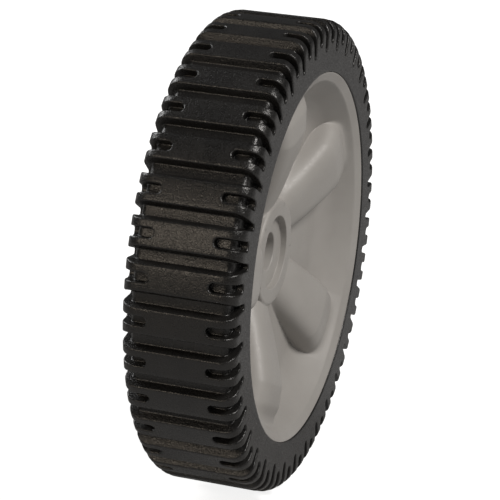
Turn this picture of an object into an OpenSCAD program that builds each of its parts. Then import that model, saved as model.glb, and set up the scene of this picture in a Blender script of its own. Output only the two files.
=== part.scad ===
// Small wheel of a garden machine: a black moulded tyre with split tread lugs on a grey dished rim.
// The axle runs along Y and the open face of the dish looks towards -Y. The origin is the wheel's centre.
// Inside the modules the axle stands along +Z with the dish on top, and upright() lays it along Y.

/* [Wheel] */
// Diameter over the tread
wheel_d = 203.2; // [190:0.2:230]
// Width over the tyre's two side walls
wheel_w = 47.6; // [44:0.2:60]

/* [Tread] */
// Number of lugs round the tyre
lug_count = 36; // [30:1:40]
// Depth of the grooves between the lugs, and of the slots in their ends
groove_depth = 3.5; // [2:0.1:4.5]
// Width of a groove at its floor
groove_floor_w = 4.4; // [3:0.1:5.5]
// How far each groove wall leans outwards between floor and tread
groove_lean = 1.3; // [0.4:0.1:1.8]
// Bevel along the lug's long edges
lug_bevel = 0.5; // [0.2:0.1:1]
// Length of a groove down the side wall, from the tread to its point
groove_drop = 12.6; // [9:0.1:14]
// Radius of the groove's point on the side wall
groove_tip_r = 1.3; // [0.6:0.1:2]
// Radius of the tyre's shoulders over the lugs
shoulder_r = 6; // [4:0.5:9]
// Radius of the shoulders at the groove floors
floor_shoulder_r = 3; // [1:0.5:6]
// Width of the slot that splits each lug's end in two
slot_w = 4; // [2.5:0.1:5]
// Length of a slot along the tread, from the side wall to its round end
slot_len = 11.4; // [8:0.1:15]
// Length of a slot down the side wall, from the tread to its round end
slot_drop = 9.4; // [7:0.1:12]

/* [Tyre seat] */
// Diameter of the band that the tyre sits on
seat_d = 159.6; // [150:0.2:166]
// Width of the ring round the middle of the band, which keeps the tyre in place
keeper_w = 16; // [8:1:24]
// Height of that ring
keeper_h = 2.2; // [1:0.1:3]

/* [Rim] */
// How far the rim's two edges lie inside the tyre's side walls
rim_inset = 0.4; // [0:0.1:2]
// Thickness of the moulded walls
wall = 3.2; // [2.4:0.1:4]
// Width of the bevelled lip round the dish
lip_w = 4.2; // [3:0.1:6]
// Fall of the lip's bevel towards the dish
lip_drop = 2.2; // [1:0.1:3]
// Lean of the dish's side wall from the axle's direction, in degrees
dish_lean = 36; // [25:1:45]
// Radius between the dish's side wall and its floor
dish_r = 16; // [8:1:20]
// Depth of the dish floor under the rim's edge, where it meets the boss
floor_depth = 20.4; // [18:0.2:24]
// Rise of the dish floor towards the side wall, in degrees
floor_rise = 6.3; // [3:0.1:8]

/* [Dish ribs] */
// Number of broad ribs in the dish
rib_count = 5; // [4:1:5]
// Angle of the first rib's middle from +X towards +Z
rib_turn = 22.5; // [0:0.5:72]
// Half of a rib's width at the boss
rib_half_in = 13; // [10:0.5:14]
// Half of a rib's width at the side wall
rib_half_out = 17; // [14:0.5:20]
// Depth of a rib's top under the rim's edge, at the boss
rib_depth_in = 15.8; // [15.5:0.1:17]
// Depth of a rib's top under the rim's edge, over its level part
rib_depth_out = 4; // [3:0.1:8]
// Distance from the axle at which a rib's top becomes level
rib_level_r = 56; // [48:1:60]
// How much the sloping part of a rib's top bulges
rib_bow = 0.25; // [0:0.05:0.5]
// Fall of a rib's top to the shallow gutter inside the lip
gutter_drop = 1.4; // [0:0.1:3]
// Squareness of a rib's section at the boss, 2 being an ellipse
rib_square_in = 3; // [2:0.5:5]
// Squareness of a rib's section at the side wall
rib_square_out = 4.5; // [2:0.5:6]

/* [Hub] */
// Diameter of the axle bore
bore_d = 15.9; // [12:0.1:20]
// Diameter of the recess round the bore, for the washer
recess_d = 31.8; // [26:0.2:36]
// Depth of that recess
recess_depth = 3; // [1:0.1:4]
// Diameter of the boss in the middle of the dish
boss_d = 46.4; // [44:0.2:50]
// Depth of the boss's face under the rim's edge
boss_depth = 15.4; // [13:0.1:15.4]
// Radius of the boss's edge
boss_edge_r = 1.5; // [0.5:0.1:2]
// Diameter of the hub tube behind the dish
tube_d = 30; // [26:0.5:36]
// Bevel at the two mouths of the bore
bore_bevel = 0.8; // [0.3:0.1:1.2]

/* [Back of the rim] */
// Number of plain webs between the hub tube and the band
web_count = 10; // [5:5:10]
// Thickness of a web
web_t = 2.6; // [2:0.1:4]
// How far the webs' back edges lie inside the rim's back edge
web_inset = 5; // [2:0.5:10]

/* [Hidden] */
$fn = 96;
tyre_r = wheel_d / 2;
tyre_half = wheel_w / 2;
seat_r = seat_d / 2;
keeper_r = seat_r + keeper_h;
floor_r = tyre_r - groove_depth;
floor_half = tyre_half - groove_depth;
rim_half = tyre_half - rim_inset;
boss_r = boss_d / 2;
recess_r = recess_d / 2;
tube_r = tube_d / 2;
bore_r = bore_d / 2;
boss_z = rim_half - boss_depth;
recess_z = boss_z - recess_depth;
floor_z = rim_half - floor_depth;
lip_r = seat_r - lip_w;
lip_z = rim_half - lip_drop;
rib_z_in = rim_half - rib_depth_in;
rib_z_out = rim_half - rib_depth_out;
// Cuts run this far past the faces they open
past = 1;
// Points along half a rib's section, and the height of the section under its top
section_steps = 20;
section_h = 16;

// Height of the dish floor's line and radius of the side wall's line, before they are blended
function floor_line(r) = floor_z + (r - boss_r) * tan(floor_rise);
function wall_line(z) = lip_r - (lip_z - z) * tan(dish_lean);
// Where the two lines meet, the second pair being set back by the thickness of the shell
corner_r = (lip_r - (lip_z - floor_z + boss_r * tan(floor_rise)) * tan(dish_lean))
    / (1 - tan(floor_rise) * tan(dish_lean));
corner_z = floor_line(corner_r);
function back_floor(r) = floor_line(r) - wall / cos(floor_rise);
back_corner_r = (lip_r + wall / cos(dish_lean)
    - (lip_z - floor_z + wall / cos(floor_rise) + boss_r * tan(floor_rise)) * tan(dish_lean))
    / (1 - tan(floor_rise) * tan(dish_lean));
back_corner_z = back_floor(back_corner_r);
band_r = seat_r - wall;
back_top_z = lip_z - (lip_r + wall / cos(dish_lean) - band_r) / tan(dish_lean);

// Height of a rib's top at a distance along its middle line
function slope_share(u) = u + rib_bow * u * (1 - u);
function rib_top(l) =
    l < boss_r ? rib_z_in
    : l < rib_level_r ? rib_z_in + (rib_z_out - rib_z_in) * slope_share((l - boss_r) / (rib_level_r - boss_r))
    : rib_z_out - gutter_drop * min(1, max(0, (l - gutter_start) / gutter_run));
gutter_run = 6;
gutter_start = lip_r - 3 * gutter_run / 2 - lip_drop;
function rib_share(l) = (l - boss_r) / (lip_r - boss_r);
function rib_half(l) = rib_half_in + (rib_half_out - rib_half_in) * rib_share(l);
function rib_square(l) = rib_square_in + (rib_square_out - rib_square_in) * rib_share(l);

// One cross section of a rib: a squared half ellipse on a flat base, set in by the shell's thickness
function rib_ring(l, inset) = let(
    half = rib_half(l) - inset, top = rib_top(l) - inset, power = 2 / rib_square(l))
    [for (i = [0 : section_steps]) let(a = 180 * i / section_steps, c = cos(a))
        [l, half * sign(c) * pow(abs(c), power), top - section_h + section_h * pow(max(0, sin(a)), power)]];

// A solid through a list of rings that have the same number of points
module loft(rings) {
    n = len(rings[0]);
    m = len(rings);
    points = [for (ring = rings) each ring];
    sides = [for (j = [0 : m - 2], i = [0 : n - 1]) let(k = (i + 1) % n)
        each [[j * n + i, (j + 1) * n + i, (j + 1) * n + k], [j * n + i, (j + 1) * n + k, j * n + k]]];
    first = [for (i = [0 : n - 1]) i];
    last = [for (i = [0 : n - 1]) m * n - 1 - i];
    polyhedron(points, concat([first], sides, [last]));
}

// A rib's outside, or its hollow back when inset is the shell's thickness
module rib_form(start, end, inset) {
    stops = concat([start], [for (l = [boss_r, boss_r + 8, boss_r + 16, boss_r + 24, rib_level_r,
        gutter_start, gutter_start + gutter_run]) if (l > start + 1 && l < end - 1) l], [end]);
    loft([for (l = stops) rib_ring(l, inset)]);
}

module round_ribs() {
    for (k = [0 : rib_count - 1]) rotate([0, 0, rib_turn + k * 360 / rib_count]) children();
}

// Lays the standing axle along Y, with the dish towards -Y
module upright() {
    rotate([90, 0, 0]) children();
}

// Half section of a drum with rounded outer corners
module drum_section(radius, half, corner) {
    translate([0, -half]) square([radius - corner, 2 * half]);
    translate([0, corner - half]) square([radius, 2 * (half - corner)]);
    for (side = [-1, 1]) translate([radius - corner, side * (half - corner)]) circle(r = corner);
}

// The groove's outline seen along the axle: a pointed notch that widens towards the tread
module groove_outline() {
    tip = tyre_r - groove_drop + groove_tip_r;
    floor_w = groove_floor_w / 2;
    top_w = floor_w + groove_lean;
    translate([tip, 0]) circle(r = groove_tip_r);
    polygon([[tip, -groove_tip_r], [floor_r, -floor_w], [tyre_r - lug_bevel, -top_w],
        [tyre_r + past, -top_w - lug_bevel - past], [tyre_r + past, top_w + lug_bevel + past],
        [tyre_r - lug_bevel, top_w], [floor_r, floor_w], [tip, groove_tip_r]]);
}

// A slot in a lug's end, from its round end on the tread over the shoulder to the side wall
module slot() {
    low = tyre_r - slot_drop + slot_w / 2;
    inner = tyre_half - slot_len + slot_w / 2;
    translate([low, -slot_w / 2, inner]) cube([slot_drop, slot_w, slot_len]);
    translate([low, 0, inner]) rotate([0, 90, 0]) cylinder(d = slot_w, h = slot_drop);
    translate([low, 0, inner]) cylinder(d = slot_w, h = slot_len);
}

// The ring that becomes the lugs once the grooves and slots are cut
module lug_ring() {
    pitch = 360 / lug_count;
    difference() {
        rotate_extrude() drum_section(tyre_r, tyre_half, shoulder_r);
        for (k = [0 : lug_count - 1]) rotate([0, 0, k * pitch]) {
            translate([0, 0, -tyre_half - past]) linear_extrude(wheel_w + 2 * past) groove_outline();
            rotate([0, 0, pitch / 2]) slot();
            rotate([0, 0, pitch / 2]) mirror([0, 0, 1]) slot();
        }
    }
}

module seat_section(reach) {
    translate([0, -tyre_half - past]) square([seat_r, wheel_w + 2 * past]);
    translate([0, -keeper_w / 2]) square([seat_r + reach, keeper_w]);
}

module tyre() {
    color("#232220") upright() difference() {
        union() {
            lug_ring();
            rotate_extrude() drum_section(floor_r, floor_half, floor_shoulder_r);
        }
        rotate_extrude() seat_section(keeper_h);
    }
}

// A round between two lines that leave a corner: its middle, and the two points where it takes over
function unit(v) = v / norm(v);
function bend_half(corner, a, b) = acos(unit(a - corner) * unit(b - corner)) / 2;
function bend_middle(corner, a, b, radius) =
    corner + unit(unit(a - corner) + unit(b - corner)) * radius / sin(bend_half(corner, a, b));
// The points lie bend_ease past the touching points, so that the round crosses their chord cleanly
function bend_points(corner, a, b, radius) = let(reach = radius / tan(bend_half(corner, a, b)) - bend_ease)
    [corner + unit(a - corner) * reach, corner + unit(b - corner) * reach];
bend_ease = 0.5;

// Half section of the rim's outside with the dish cut in its front, still solid behind
module rim_section() {
    difference() {
        union() {
            translate([0, -rim_half]) square([seat_r, 2 * rim_half]);
            translate([0, -keeper_w / 2]) square([keeper_r, keeper_w]);
        }
        dish_section();
        // The boss's rounded edge
        difference() {
            translate([boss_r - boss_edge_r, boss_z - boss_edge_r]) square(boss_edge_r + past);
            translate([boss_r - boss_edge_r, boss_z - boss_edge_r]) circle(r = boss_edge_r);
        }
    }
}

// The space of the dish, from the boss's side over the floor and up the side wall and lip
module dish_section() {
    foot = [boss_r, floor_z];
    rise = [lip_r, lip_z];
    corner = [corner_r, corner_z];
    bend = bend_points(corner, foot, rise, dish_r);
    polygon([[0, boss_z], [boss_r, boss_z], foot, bend[0], bend[1], rise, [seat_r, rim_half],
        [seat_r, rim_half + past], [0, rim_half + past]]);
    translate(bend_middle(corner, foot, rise, dish_r)) circle(r = dish_r);
}

// Half section of the hollow back, which keeps the dish's shell at an even thickness
module back_section() {
    foot = [tube_r, back_floor(tube_r)];
    rise = [band_r, back_top_z];
    corner = [back_corner_r, back_corner_z];
    bend = bend_points(corner, foot, rise, dish_r + wall);
    difference() {
        polygon([[tube_r, -rim_half - past], foot, bend[0], bend[1], rise, [band_r, -rim_half - past]]);
        translate(bend_middle(corner, foot, rise, dish_r + wall)) circle(r = dish_r + wall);
    }
}

module webs() {
    for (k = [0 : web_count - 1]) rotate([0, 0, rib_turn + k * 360 / web_count])
        translate([0, -web_t / 2, web_inset - rim_half]) cube([seat_r, web_t, 2 * rim_half]);
}

module rim() {
    color("#9b968f") upright() difference() {
        union() {
            rotate_extrude() rim_section();
            round_ribs() rib_form((boss_r + recess_r) / 2 - boss_edge_r, lip_r, 0);
        }
        difference() {
            union() {
                rotate_extrude() back_section();
                round_ribs() rib_form(boss_r + wall, lip_r - wall, wall);
            }
            webs();
        }
        translate([0, 0, recess_z]) cylinder(r = recess_r, h = rim_half);
        translate([0, 0, -rim_half - past]) cylinder(r = bore_r, h = 2 * rim_half);
        translate([0, 0, recess_z - bore_bevel]) cylinder(r1 = bore_r, r2 = bore_r + bore_bevel, h = bore_bevel);
        translate([0, 0, -rim_half]) cylinder(r1 = bore_r + bore_bevel, r2 = bore_r, h = bore_bevel);
    }
}

tyre();
rim();
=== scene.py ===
"""A small wheel of a garden machine: a black moulded tyre with split lugs on a grey dished rim.

The axle runs along Y, the open face of the dish looks towards -Y and the wheel stands upright on two lugs.
"""
import bpy
import math
import numpy as np
from mathutils import Matrix, Vector


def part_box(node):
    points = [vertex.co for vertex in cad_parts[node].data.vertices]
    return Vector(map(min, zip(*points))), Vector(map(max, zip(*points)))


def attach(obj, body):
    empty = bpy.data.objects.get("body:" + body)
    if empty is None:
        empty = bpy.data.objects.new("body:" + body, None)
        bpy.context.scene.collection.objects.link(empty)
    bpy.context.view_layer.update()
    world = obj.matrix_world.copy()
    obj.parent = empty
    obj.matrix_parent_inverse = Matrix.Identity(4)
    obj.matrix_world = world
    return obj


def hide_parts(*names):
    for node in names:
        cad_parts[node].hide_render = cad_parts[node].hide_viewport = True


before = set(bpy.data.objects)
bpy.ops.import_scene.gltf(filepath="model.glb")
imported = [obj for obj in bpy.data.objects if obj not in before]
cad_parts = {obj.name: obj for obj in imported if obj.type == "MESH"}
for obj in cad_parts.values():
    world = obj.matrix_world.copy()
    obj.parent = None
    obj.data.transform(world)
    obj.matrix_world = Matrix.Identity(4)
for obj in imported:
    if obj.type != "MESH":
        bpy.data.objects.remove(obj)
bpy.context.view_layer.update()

# The camera.
# It stands in front of the tread and a little above the axle, so that the dish is seen at a slant.
MM = 0.001
camera_place = (-800.45, -263.55, 368.79)
camera_right = (0.321594, -0.946799, 0.012235)
camera_down = (-0.376056, -0.139571, -0.916025)
camera_ahead = (0.868999, 0.289987, -0.400935)
focal_in_pixels = 2137.23
picture_side = 500.0
sensor_side = 36.0

camera_data = bpy.data.cameras.new("camera")
camera_data.sensor_width = sensor_side
camera_data.lens = focal_in_pixels / picture_side * sensor_side
camera_data.clip_start = 0.05
camera = bpy.data.objects.new("camera", camera_data)
turn = Matrix((camera_right, [-v for v in camera_down], [-v for v in camera_ahead])).transposed()
camera.matrix_world = Matrix.Translation(Vector(camera_place) * MM) @ turn.to_4x4()
bpy.context.scene.collection.objects.link(camera)
bpy.context.scene.camera = camera

# The tyre.
# One moulding in black rubbery plastic, pushed over the rim's band. Thirty-six lugs cross the tread,
# and a slot splits each end of a lug into two fingers that turn down over the shoulder.
tyre_low, tyre_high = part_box("tyre")
LUGS = 36
tread_r = 101.6
tyre_half = tyre_high.y / MM
seat_r = 79.8
keeper_r = 82.0
keeper_half = 8.0
shoulder_r = 6.0
groove_depth = 3.5
groove_floor_half = 2.2
groove_lean = 1.3
groove_drop = 12.6
groove_tip_r = 1.3
slot_half = 2.0
slot_len = 11.4
slot_drop = 9.4
edge_round = 0.55
floor_round = 0.5
seat_round = 0.6

tread_end = tyre_half - shoulder_r
arc_len = math.pi / 2 * shoulder_r
wall_start = tread_end + arc_len


def tyre_point(b, h):
    """Radius and place along the axle, b along the tyre's skin from its middle and h above the lugs."""
    if b <= tread_end:
        return tread_r + h, b
    if b <= wall_start:
        a = (b - tread_end) / shoulder_r
        reach = shoulder_r + h
        return tread_r - shoulder_r + reach * math.cos(a), tread_end + reach * math.sin(a)
    return tread_r - shoulder_r - (b - wall_start), tyre_half + h


def along_wall(radius):
    """The skin length at which the side wall has this radius."""
    return wall_start + tread_r - shoulder_r - radius


def groove_half(radius):
    """Half the groove's width at this radius, straight walls that lean outwards near the tread."""
    floor_r = tread_r - groove_depth
    tip = tread_r - groove_drop + groove_tip_r
    if radius >= floor_r:
        return groove_floor_half + groove_lean * (radius - floor_r) / groove_depth
    share = max(0.0, (radius - tip) / (floor_r - tip))
    return groove_tip_r + (groove_floor_half - groove_tip_r) * share


# Each step down a wall: how far it stands out from the wall's line, and its depth under the lug's face
round_steps = [(edge_round * (1 - math.sin(a)), -edge_round * (1 - math.cos(a)))
               for a in (0, math.pi / 4, math.pi / 2)]
foot_steps = [(-floor_round * (1 - math.cos(a)), -groove_depth + floor_round * (1 - math.sin(a)))
              for a in (0, math.pi / 4, math.pi / 2)]
wall_steps = round_steps + foot_steps
END_STEPS = 5
LUG_COLUMNS = 4

# The rows that a quarter of one lug is made of, from the tread's middle to the rim's seat.
# A row is a plain length along the skin, or a place on a round end given by its angle.
slot_inner = tyre_half - slot_len + slot_half
slot_outer_r = tread_r - slot_drop + slot_half
tip_r = tread_r - groove_drop + groove_tip_r
quarter_turns = [math.pi / 2 * i / END_STEPS for i in range(END_STEPS + 1)]
tread_rows = (0.0, 4.0, 8.0, 11.0)
notch_row_r = 91.3
wall_row_radii = (87.0, 84.0, 81.5)
rows = [("plain", v) for v in tread_rows]
rows += [("slot_in", a) for a in quarter_turns]
rows += [("plain", tread_end - 1.0)]
rows += [("plain", tread_end + arc_len * i / 6) for i in range(7)]
rows += [("slot_out", a) for a in reversed(quarter_turns)]
rows += [("plain", along_wall(notch_row_r))]
rows += [("tip", a) for a in reversed(quarter_turns)]
rows += [("plain", along_wall(r)) for r in wall_row_radii]


def row_place(row, out):
    """Skin length of a row on a wall line that stands out by this much."""
    kind, v = row
    if kind == "plain":
        return v
    if kind == "slot_in":
        return slot_inner - (slot_half + out) * math.cos(v)
    if kind == "slot_out":
        return along_wall(slot_outer_r - (slot_half + out) * math.cos(v))
    return along_wall(tip_r - (groove_tip_r + out) * math.cos(v))


def groove_width(row, b, h, out):
    """Half width of the groove at a row, 0 past its point."""
    if row[0] == "tip":
        return (groove_tip_r + out) * math.sin(row[1])
    if b > row_place(("tip", math.pi / 2), 0):
        return 0.0
    return groove_half(tyre_point(b, h)[0]) + out


def slot_width(row, b, out):
    """Half width of the slot at a row, 0 past its round ends."""
    if row[0] in ("slot_in", "slot_out"):
        return (slot_half + out) * math.sin(row[1])
    if row_place(("slot_in", math.pi / 2), 0) < b < row_place(("slot_out", math.pi / 2), 0):
        return slot_half + out
    return 0.0


def lug_quarter():
    """A quarter of one pitch of the tyre, from a groove's middle to a lug's middle."""
    half_pitch = math.pi / LUGS
    points, faces = [], []

    def add(b, h, angle):
        radius, along = tyre_point(b, h)
        points.append((radius * math.cos(angle), along, radius * math.sin(angle)))
        return len(points) - 1

    def skin(left, right):
        """Joins two lines of point numbers, one from each row, with faces that look outwards."""
        for i in range(len(left) - 1):
            ring = [right[i], right[i + 1], left[i + 1], left[i]]
            ring = [v for k, v in enumerate(ring) if v not in ring[:k]]
            turns = [math.atan2(points[v][2], points[v][0]) for v in ring]
            # a face that lies in a mirror plane would be a wall inside the tyre
            if len(ring) > 2 and max(turns) - min(turns) > 1e-7:
                faces.append(ring)

    def angle_of(width, b, h):
        return math.atan2(width, tyre_point(b, h)[0])

    lines = []
    for row in rows:
        top_b = row_place(row, edge_round)
        line = []
        # the groove's floor and wall, from its middle outwards
        in_groove = groove_width(row, top_b, 0.0, edge_round) > 1e-9 or row == ("tip", 0.0)
        if in_groove:
            out, h = wall_steps[-1]
            b = row_place(row, out)
            width = groove_width(row, b, h, out)
            line.append(add(b, h, 0.0))
            line.append(add(b, h, angle_of(width, b, h)))
            for out, h in reversed(wall_steps[:-1]):
                b = row_place(row, out)
                line.append(add(b, h, angle_of(groove_width(row, b, h, out), b, h)))
        else:
            line += [add(top_b, 0.0, 0.0)] * (len(wall_steps) + 1)
        start = angle_of(groove_width(row, top_b, 0.0, edge_round), top_b, 0.0) if in_groove else 0.0
        in_slot = slot_width(row, top_b, edge_round) > 1e-9 or row in (("slot_in", 0.0), ("slot_out", 0.0))
        stop = half_pitch - (angle_of(slot_width(row, top_b, edge_round), top_b, 0.0) if in_slot else 0.0)
        for i in range(1, LUG_COLUMNS + 1):
            line.append(add(top_b, 0.0, start + (stop - start) * i / LUG_COLUMNS))
        if in_slot:
            for out, h in wall_steps[1:]:
                b = row_place(row, out)
                width = slot_width(row, b, out)
                line.append(add(b, h, half_pitch - angle_of(width, b, h)))
            line.append(add(b, h, half_pitch))
        else:
            line += [line[-1]] * len(wall_steps)
        lines.append(line)
    # the rounded edge beside the rim, then the seat and the keeper's groove inside the tyre
    columns = len(lines[0])
    angles = [math.atan2(points[v][2], points[v][0]) for v in lines[-1]]

    def ring_line(radius, along):
        made, last = [], None
        for i in range(columns):
            if last is not None and abs(angles[i] - angles[i - 1]) < 1e-9:
                made.append(last)
                continue
            points.append((radius * math.cos(angles[i]), along, radius * math.sin(angles[i])))
            last = len(points) - 1
            made.append(last)
        return made

    for a in (0, math.pi / 4, math.pi / 2):
        lines.append(ring_line(seat_r + seat_round * (1 - math.sin(a)),
                               tyre_half - seat_round * (1 - math.cos(a))))
    lines.append(ring_line(seat_r, keeper_half))
    lines.append(ring_line(keeper_r, keeper_half))
    lines.append(ring_line(keeper_r, 0.0))
    for left, right in zip(lines, lines[1:]):
        skin(left, right)
    mesh = bpy.data.meshes.new("lug_quarter")
    mesh.from_pydata([[v * MM for v in p] for p in points], [], faces)
    mesh.validate()
    return mesh


def add_socket(tree, name, kind, value=None, out=False):
    """Adds a named input or output to a node tree and returns it."""
    socket = tree.interface.new_socket(name=name, in_out="OUTPUT" if out else "INPUT", socket_type=kind)
    if value is not None:
        socket.default_value = value
    return socket


def add_node(tree, kind, inputs=None, **settings):
    """Adds a node, sets its properties and plugs or fills its inputs by name or number."""
    node = tree.nodes.new(kind)
    for key, value in settings.items():
        setattr(node, key, value)
    for key, value in (inputs or {}).items():
        socket = node.inputs[key]
        if isinstance(value, bpy.types.NodeSocket):
            tree.links.new(value, socket)
        else:
            socket.default_value = value
    return node


def round_pattern_tree(name):
    """Copies of a piece, mirrored as asked, set round the axle at even steps and welded together."""
    tree = bpy.data.node_groups.new(name, "GeometryNodeTree")
    add_socket(tree, "Geometry", "NodeSocketGeometry")
    add_socket(tree, "Copies", "NodeSocketInt", 1)
    add_socket(tree, "First angle", "NodeSocketFloat", 0.0)
    add_socket(tree, "Mirrored", "NodeSocketBool", False)
    add_socket(tree, "Weld distance", "NodeSocketFloat", 0.00001)
    add_socket(tree, "Material", "NodeSocketMaterial")
    add_socket(tree, "Geometry", "NodeSocketGeometry", out=True)
    start = tree.nodes.new("NodeGroupInput").outputs
    piece = start["Geometry"]
    # the other half of the lug, then the other half of the tread
    for scale in ((1, 1, -1), (1, -1, 1)):
        turned = add_node(tree, "GeometryNodeTransform", {"Geometry": piece, "Scale": scale})
        flipped = add_node(tree, "GeometryNodeFlipFaces", {"Mesh": turned.outputs[0]})
        both = tree.nodes.new("GeometryNodeJoinGeometry")
        tree.links.new(flipped.outputs[0], both.inputs[0])
        tree.links.new(piece, both.inputs[0])
        piece = both.outputs[0]
    chosen = add_node(tree, "GeometryNodeSwitch", {"Switch": start["Mirrored"], "False": start["Geometry"],
                                                   "True": piece}, input_type="GEOMETRY")
    places = add_node(tree, "GeometryNodeMeshLine", {"Count": start["Copies"], "Offset": (0, 0, 0)})
    step = add_node(tree, "ShaderNodeMath", {0: 2 * math.pi, 1: start["Copies"]}, operation="DIVIDE")
    index = tree.nodes.new("GeometryNodeInputIndex")
    angle = add_node(tree, "ShaderNodeMath", {0: index.outputs[0], 1: step.outputs[0], 2: start["First angle"]},
                     operation="MULTIPLY_ADD")
    spin = add_node(tree, "ShaderNodeMath", {0: angle.outputs[0], 1: -1.0}, operation="MULTIPLY")
    euler = add_node(tree, "ShaderNodeCombineXYZ", {"Y": spin.outputs[0]})
    copies = add_node(tree, "GeometryNodeInstanceOnPoints", {
        "Points": places.outputs[0], "Instance": chosen.outputs[0], "Rotation": euler.outputs[0]})
    real = add_node(tree, "GeometryNodeRealizeInstances", {"Geometry": copies.outputs[0]})
    welded = add_node(tree, "GeometryNodeMergeByDistance", {
        "Geometry": real.outputs[0], "Distance": start["Weld distance"]})
    painted = add_node(tree, "GeometryNodeSetMaterial", {
        "Geometry": welded.outputs[0], "Material": start["Material"]})
    end = tree.nodes.new("NodeGroupOutput")
    tree.links.new(painted.outputs[0], end.inputs[0])
    return tree


def made_round(name, mesh, tree, values, smooth=True):
    """Runs the pattern tree on a mesh with its inputs set, and returns a plain mesh object."""
    source = bpy.data.objects.new(name + "_source", mesh)
    bpy.context.scene.collection.objects.link(source)
    pattern = source.modifiers.new("pattern", "NODES")
    pattern.node_group = tree
    for item in tree.interface.items_tree:
        if item.in_out == "INPUT" and item.name in values:
            pattern[item.identifier] = values[item.name]
    result = bpy.data.meshes.new_from_object(source.evaluated_get(bpy.context.evaluated_depsgraph_get()))
    bpy.data.objects.remove(source)
    result.name = name
    if smooth:
        result.shade_smooth()
    else:
        result.shade_flat()
    piece = bpy.data.objects.new(name, result)
    bpy.context.scene.collection.objects.link(piece)
    return piece


def even_normals(piece):
    """Lets the large faces rule the shading, so that a rounded edge doesn't tint the flats beside it."""
    weigh = piece.modifiers.new("weigh", "WEIGHTED_NORMAL")
    weigh.weight = 50
    done = bpy.data.meshes.new_from_object(piece.evaluated_get(bpy.context.evaluated_depsgraph_get()))
    piece.modifiers.remove(weigh)
    done.name = piece.name
    piece.data = done


def value_group(name, outputs, inputs):
    """An empty shader group with named float inputs and outputs of the given kinds."""
    group = bpy.data.node_groups.new(name, "ShaderNodeTree")
    for key, value in inputs.items():
        add_socket(group, key, "NodeSocketFloat", value)
    for key, kind in outputs.items():
        add_socket(group, key, kind, out=True)
    return group, group.nodes.new("NodeGroupInput").outputs, group.nodes.new("NodeGroupOutput")


# Fine moulded grain as heights, and slow patches where the surface is a little duller or paler
grain_group, given, end = value_group(
    "moulded_grain", {"Height": "NodeSocketFloat", "Patches": "NodeSocketFloat"},
    {"Grain size": 0.5, "Patch size": 18.0})
where = add_node(grain_group, "ShaderNodeTexCoord")
per_grain = add_node(grain_group, "ShaderNodeMath", {0: 1000.0, 1: given["Grain size"]}, operation="DIVIDE")
per_patch = add_node(grain_group, "ShaderNodeMath", {0: 1000.0, 1: given["Patch size"]}, operation="DIVIDE")
grain = add_node(grain_group, "ShaderNodeTexNoise", {"Vector": where.outputs["Object"],
                 "Scale": per_grain.outputs[0], "Detail": 1.0, "Roughness": 0.5})
patches = add_node(grain_group, "ShaderNodeTexNoise", {"Vector": where.outputs["Object"],
                   "Scale": per_patch.outputs[0], "Detail": 3.0, "Roughness": 0.6})
grain_group.links.new(grain.outputs["Fac"], end.inputs["Height"])
grain_group.links.new(patches.outputs["Fac"], end.inputs["Patches"])


def moulded_plastic(name, dark, light, rough, grain_size, patch_size, bump, depth, specular):
    """A moulded plastic or rubber: two close colours in patches, and grain in its bump and gloss."""
    material = bpy.data.materials.new(name)
    material.use_nodes = True
    tree = material.node_tree
    tree.nodes.clear()
    effect = add_node(tree, "ShaderNodeGroup", node_tree=grain_group)
    effect.inputs["Grain size"].default_value = grain_size
    effect.inputs["Patch size"].default_value = patch_size
    tint = add_node(tree, "ShaderNodeMapRange", {"Value": effect.outputs["Patches"], "From Min": 0.35,
                    "From Max": 0.65})
    colour = add_node(tree, "ShaderNodeMix", {0: tint.outputs[0]}, data_type="RGBA")
    for socket, value in (("A_Color", dark), ("B_Color", light)):
        [s for s in colour.inputs if s.identifier == socket][0].default_value = (*value, 1)
    gloss = add_node(tree, "ShaderNodeMapRange", {"Value": effect.outputs["Height"], "From Min": 0.3,
                     "From Max": 0.7, "To Min": rough[0], "To Max": rough[1]})
    relief = add_node(tree, "ShaderNodeBump", {"Height": effect.outputs["Height"], "Strength": bump,
                      "Distance": depth * MM})
    surface = add_node(tree, "ShaderNodeBsdfPrincipled", {
        "Roughness": gloss.outputs[0], "Normal": relief.outputs[0], "Specular IOR Level": specular})
    tint_out = [s for s in colour.outputs if s.identifier == "Result_Color"][0]
    tree.links.new(tint_out, surface.inputs["Base Color"])
    end = tree.nodes.new("ShaderNodeOutputMaterial")
    tree.links.new(surface.outputs[0], end.inputs["Surface"])
    return material


tyre_black = moulded_plastic("tyre_black", (0.0075, 0.0072, 0.007), (0.013, 0.0124, 0.0118), (0.24, 0.44),
                             0.6, 14.0, 1.0, 0.16, 0.5)
round_tree = round_pattern_tree("set_round_the_axle")
tyre = made_round("tyre_moulding", lug_quarter(), round_tree, {
    "Copies": LUGS, "First angle": 0.0, "Mirrored": True, "Material": tyre_black})
even_normals(tyre)
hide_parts("tyre")
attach(tyre, "root")

# The rim.
# One injection moulding in grey plastic. Five broad ribs rise from the boss to the side wall of the dish,
# and the back is hollow, with a tube for the axle and plain webs between the tube and the band.
rim_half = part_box("rim")[1].y / MM
RIBS = 5
rib_turn = 22.5
shell = 3.2
lip_r = 75.6
lip_z = rim_half - 2.2
dish_lean = math.radians(36)
dish_round = 16.0
boss_r = 23.2
boss_z = rim_half - 15.4
boss_round = 1.5
foot_round = 1.2
recess_r = 15.9
recess_z = boss_z - 3.0
bore_r = 7.95
bore_bevel = 0.8
tube_r = 15.0
floor_z = rim_half - 20.4
floor_rise = math.radians(6.3)
rib_half_in, rib_half_out = 13.0, 17.0
rib_z_in, rib_z_out = rim_half - 15.8, rim_half - 4.0
rib_level_r = 56.0
rib_bow = 0.25
gutter_drop = 1.4
gutter_run = 6.0
gutter_start = lip_r - 3 * gutter_run / 2 - 2.2
rib_square_in, rib_square_out = 3.0, 4.5
section_h = 16.0
crease = 1.0
band_r = seat_r - shell


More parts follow.
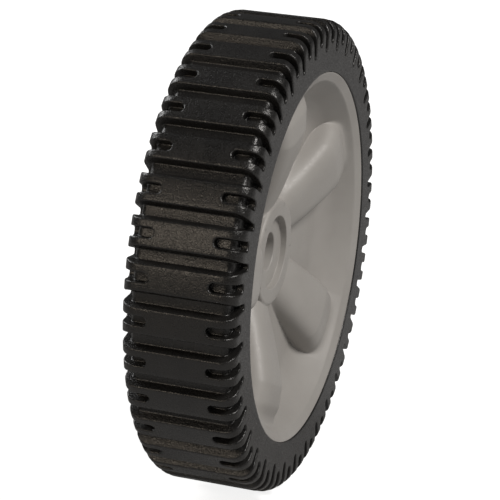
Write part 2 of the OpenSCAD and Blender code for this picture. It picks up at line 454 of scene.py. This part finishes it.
def bowl(radius, set_back=0.0):
    """Height of the dish without its ribs: a low cone, a round bend and a leaning side wall."""
    floor_at = floor_z - set_back / math.cos(floor_rise)
    wall_r = lip_r + set_back / math.cos(dish_lean)
    bend = dish_round + set_back
    # the bend's middle lies at the same distance from both lines
    slope, lean = math.tan(floor_rise), 1 / math.tan(dish_lean)
    floor_c = floor_at - slope * boss_r
    wall_c = lip_z - lean * wall_r
    rise = bend * math.hypot(1, slope)
    side = bend * math.hypot(1, lean)
    middle_r = (floor_c + rise - wall_c - side) / (lean - slope)
    middle_z = floor_c + slope * middle_r + rise
    touch_floor = middle_r + bend * math.sin(floor_rise)
    touch_wall = middle_r + bend * math.cos(dish_lean)
    radius = np.asarray(radius, float)
    inside = np.clip(bend ** 2 - (radius - middle_r) ** 2, 0, None)
    height = np.where(radius < touch_floor, floor_c + slope * radius, middle_z - np.sqrt(inside))
    return np.where(radius > touch_wall, wall_c + lean * radius, height)


def blended(one, other, soft):
    """The higher of two surfaces, with their meeting line rounded off."""
    return (one + other + np.sqrt((one - other) ** 2 + soft ** 2)) / 2


def rib_top(along):
    """Height of a rib's top at a distance along its middle line."""
    u = np.clip((along - boss_r) / (rib_level_r - boss_r), 0, 1)
    rise = u + rib_bow * u * (1 - u)
    dip = np.clip((along - gutter_start) / gutter_run, 0, 1)
    return rib_z_in + (rib_z_out - rib_z_in) * rise - gutter_drop * dip * dip * (3 - 2 * dip)


def dish(radius, off_angle, set_back=0.0):
    """Height of the dish with its ribs, off_angle being the angle from the nearest rib's middle."""
    along = radius * np.cos(off_angle)
    aside = radius * np.sin(off_angle)
    share = (along - boss_r) / (lip_r - boss_r)
    half = rib_half_in + (rib_half_out - rib_half_in) * share - set_back
    power = rib_square_in + (rib_square_out - rib_square_in) * np.clip(share, 0, 1)
    across = np.clip(np.abs(aside) / half, 0, 1)
    rib = rib_top(along) - set_back - section_h + section_h * (1 - across ** power) ** (1 / power)
    return blended(rib, bowl(radius, set_back), crease)


RIB_COLUMNS = 32
VALLEY_COLUMNS = 16


def rib_columns(radius, set_back=0.0):
    """Angles of the columns at a radius. They follow the ribs, so that the flanks stay clean."""
    share = np.clip((radius - boss_r) / (lip_r - boss_r), 0, 1)
    half = rib_half_in + (rib_half_out - rib_half_in) * share - set_back
    turns = np.linspace(math.pi, 0, RIB_COLUMNS + 1)[1:]
    aside = half * np.sign(np.cos(turns)) * np.abs(np.cos(turns)) ** 0.6
    rib = np.arcsin(aside / radius)
    edge = rib[-1]
    valley = np.linspace(edge, 2 * math.pi / RIBS - edge, VALLEY_COLUMNS + 1)[1:]
    one = np.concatenate([rib, valley])
    return np.concatenate([one + 2 * math.pi * k / RIBS for k in range(RIBS)])


def off_rib(angles):
    """Angle from the middle of the nearest rib."""
    pitch = 2 * math.pi / RIBS
    return (angles + pitch / 2) % pitch - pitch / 2


def rim_shell():
    """The whole rim but its webs, as one closed sheet of rings from the bore round to the bore again."""
    turn = math.radians(rib_turn)
    rings = []

    def ring(radius, height, angles):
        rings.append(np.stack([radius * np.cos(angles + turn), -np.broadcast_to(height, angles.shape),
                               radius * np.sin(angles + turn)], -1))

    count = RIBS * (RIB_COLUMNS + VALLEY_COLUMNS)
    first = rib_columns(boss_r)
    even = first[0] + np.arange(count) * 2 * math.pi / count

    def arc(middle_r, middle_z, radius, start, stop, steps, angles):
        for a in np.radians(np.linspace(start, stop, steps)):
            ring(middle_r + radius * math.cos(a), middle_z + radius * math.sin(a), angles)

    small = 0.4  # the round on the edges that have none of their own
    # the bore's front mouth, the recess and the boss
    ring(bore_r, recess_z - bore_bevel, even)
    ring(bore_r + bore_bevel, recess_z, even)
    arc(recess_r - small, recess_z + small, small, -90, 0, 3, even)
    arc(recess_r + small, boss_z - small, small, 180, 90, 3, even)
    ring(boss_r - boss_round - 1.5, boss_z, first)
    for a in np.radians(np.linspace(90, 0, 6)):
        radius = boss_r - boss_round + boss_round * math.cos(a)
        edge_z = boss_z - boss_round + boss_round * math.sin(a)
        angles = rib_columns(radius)
        ring(radius, blended(dish(radius, off_rib(angles)), edge_z, 0.25), angles)
    # the dish
    foot = boss_r + foot_round * np.array([0.01, 0.08, 0.25, 0.5, 0.75])
    body = np.linspace(boss_r + 2.2, lip_r - 3.2, 54)
    last = np.array([lip_r - 2.4, lip_r - 1.6, lip_r - 0.9, lip_r - 0.4])
    for radius in np.concatenate([foot, body, last]):
        angles = rib_columns(radius)
        height = dish(radius, off_rib(angles))
        # a small round at the boss's foot, which fades out where a rib meets the boss
        gap = max(0.0, foot_round - (radius - boss_r))
        fade = np.clip((boss_z - boss_round - height) / foot_round, 0, 1)
        height = height + fade * (foot_round - math.sqrt(foot_round ** 2 - gap ** 2))
        ring(radius, np.minimum(height, lip_z), angles)
    edge = rib_columns(lip_r)
    # the lip, the band with its keeper ring, and the back edge
    ring(lip_r, lip_z, edge)
    ring(lip_r + 0.5, lip_z + 0.35, edge)
    slope = (rim_half - lip_z) / (seat_r - lip_r)
    ring(seat_r - 0.8, rim_half - 0.8 * slope - 0.02, edge)
    arc(seat_r - small, rim_half - small - 0.1, small, 80, 0, 3, edge)
    for radius, height in ((seat_r, keeper_half), (keeper_r, keeper_half), (keeper_r, -keeper_half),
                           (seat_r, -keeper_half)):
        ring(radius, height, edge)
    arc(seat_r - small, small - rim_half, small, 0, -90, 3, edge)
    arc(band_r + small, small - rim_half, small, -90, -180, 3, edge)
    # the hollow back
    top = rib_columns(band_r, shell)
    ring(band_r, 0.0, top)
    back_r = np.linspace(band_r - 0.02, tube_r + 0.4, 56)
    for radius in back_r:
        angles = rib_columns(max(radius, boss_r), shell)
        under = dish(radius, off_rib(angles), shell) if radius > boss_r else bowl(radius, shell) + 0 * angles
        ring(radius, np.minimum(under, bowl(band_r, shell)), angles)
    ring(tube_r, bowl(tube_r, shell) - 0.5, even)
    # the hub tube and the bore
    arc(tube_r - small, small - rim_half, small, 0, -90, 3, even)
    ring(bore_r + bore_bevel, -rim_half, even)
    ring(bore_r, bore_bevel - rim_half, even)
    ring(bore_r, 0.0 - rim_half / 2, even)

    points = np.concatenate(rings) * MM
    faces = []
    for j in range(len(rings)):
        low, high = j * count, (j + 1) % len(rings) * count
        for i in range(count):
            k = (i + 1) % count
            faces.append((high + i, high + k, low + k, low + i))
    mesh = bpy.data.meshes.new("rim_moulding")
    mesh.from_pydata(points.tolist(), [], faces)
    mesh.validate()
    return mesh


rim_grey = moulded_plastic("rim_grey", (0.345, 0.33, 0.312), (0.375, 0.362, 0.343), (0.42, 0.54),
                           0.9, 30.0, 0.2, 0.06, 0.5)
rim_mesh = rim_shell()
rim_mesh.materials.append(rim_grey)
rim_mesh.shade_smooth()
rim = bpy.data.objects.new("rim_moulding", rim_mesh)
bpy.context.scene.collection.objects.link(rim)
even_normals(rim)
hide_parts("rim")
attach(rim, "root")

# The webs behind the dish.
# Ten plain plates, moulded with the rim, that tie the hub tube to the band. Five stand under the ribs
# and five under the valleys between them.
web_t = 2.6
web_z = 5.0 - rim_half


def web_plate(off_angle):
    """One web as a closed plate whose upper edge lies inside the dish's shell."""
    radii = np.linspace(tube_r - 2, band_r + 1, 40)
    upper = dish(np.maximum(radii, boss_r), np.zeros(40) + off_angle, shell / 2)
    upper = np.where(radii < boss_r + 3, bowl(radii, shell / 2), upper)
    line = [(r, z) for r, z in zip(radii, upper)] + [(radii[-1], web_z), (radii[0], web_z)]
    n = len(line)
    points = [(r * MM, -z * MM, side * web_t / 2 * MM) for side in (-1, 1) for r, z in line]
    faces = [[n - 1 - i for i in range(n)], [n + i for i in range(n)]]
    faces += [((i + 1) % n, (i + 1) % n + n, i + n, i) for i in range(n)]
    mesh = bpy.data.meshes.new("web")
    mesh.from_pydata(points, [], faces)
    mesh.validate()
    return mesh


for name, off_angle in (("webs_under_ribs", 0.0), ("webs_under_valleys", math.pi / RIBS)):
    webs = made_round(name, web_plate(off_angle), round_tree, {
        "Copies": RIBS, "First angle": math.radians(rib_turn) + off_angle, "Mirrored": False,
        "Material": rim_grey}, smooth=False)
    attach(webs, "root")

# The floor, the backdrop and the light.
# A plain white floor that the lens sees as white, under wide soft lamps.
floor_place = tyre_low.z
floor_mesh = bpy.data.meshes.new("floor")
reach = 6.0
paper_tone = (0.45, 0.45, 0.45)
glow_seen_by_the_lens = 0.85
room_light = 0.07
floor_mesh.from_pydata([(-reach, -reach, floor_place), (reach, -reach, floor_place),
                        (reach, reach, floor_place), (-reach, reach, floor_place)], [], [(0, 1, 2, 3)])
floor = bpy.data.objects.new("floor", floor_mesh)
bpy.context.scene.collection.objects.link(floor)
floor_white = bpy.data.materials.new("floor_white")
floor_white.use_nodes = True
tree = floor_white.node_tree
tree.nodes.clear()
paper = add_node(tree, "ShaderNodeBsdfDiffuse", {"Color": (*paper_tone, 1)})
glow = add_node(tree, "ShaderNodeEmission", {"Color": (1, 1, 1, 1), "Strength": 1.0})
path = tree.nodes.new("ShaderNodeLightPath")
seen = add_node(tree, "ShaderNodeMath", {0: path.outputs["Is Camera Ray"], 1: glow_seen_by_the_lens},
                operation="MULTIPLY")
tree.links.new(seen.outputs[0], glow.inputs["Strength"])
blend = add_node(tree, "ShaderNodeAddShader", {0: paper.outputs[0], 1: glow.outputs[0]})
end = tree.nodes.new("ShaderNodeOutputMaterial")
tree.links.new(blend.outputs[0], end.inputs["Surface"])
floor_mesh.materials.append(floor_white)

world = bpy.data.worlds.new("studio")
bpy.context.scene.world = world
world.use_nodes = True
tree = world.node_tree
tree.nodes.clear()
path = tree.nodes.new("ShaderNodeLightPath")
power = add_node(tree, "ShaderNodeMapRange", {"Value": path.outputs["Is Camera Ray"],
                 "To Min": room_light, "To Max": 1.0})
room = add_node(tree, "ShaderNodeBackground", {"Color": (1, 1, 1, 1), "Strength": power.outputs[0]})
end = tree.nodes.new("ShaderNodeOutputWorld")
tree.links.new(room.outputs[0], end.inputs["Surface"])


def soft_lamp(name, place, size, power, colour):
    """A wide square lamp that looks at the wheel's middle."""
    lamp = bpy.data.lights.new(name, "AREA")
    lamp.size = size
    lamp.energy = power
    lamp.color = colour
    obj = bpy.data.objects.new(name, lamp)
    obj.location = place
    obj.rotation_euler = Vector(place).to_track_quat("Z", "Y").to_euler()
    bpy.context.scene.collection.objects.link(obj)
    return obj


soft_lamp("lamp_above", (-0.2, -1.0, 1.2), 0.5, 19, (1.0, 0.965, 0.93))
soft_lamp("lamp_tread", (-1.03, 0.38, 0.5), 0.42, 2.6, (1.0, 0.86, 0.7))
soft_lamp("lamp_behind", (0.5, 1.4, 0.9), 0.8, 16, (1.0, 1.0, 1.0))

bpy.context.scene.view_settings.view_transform = "Standard"
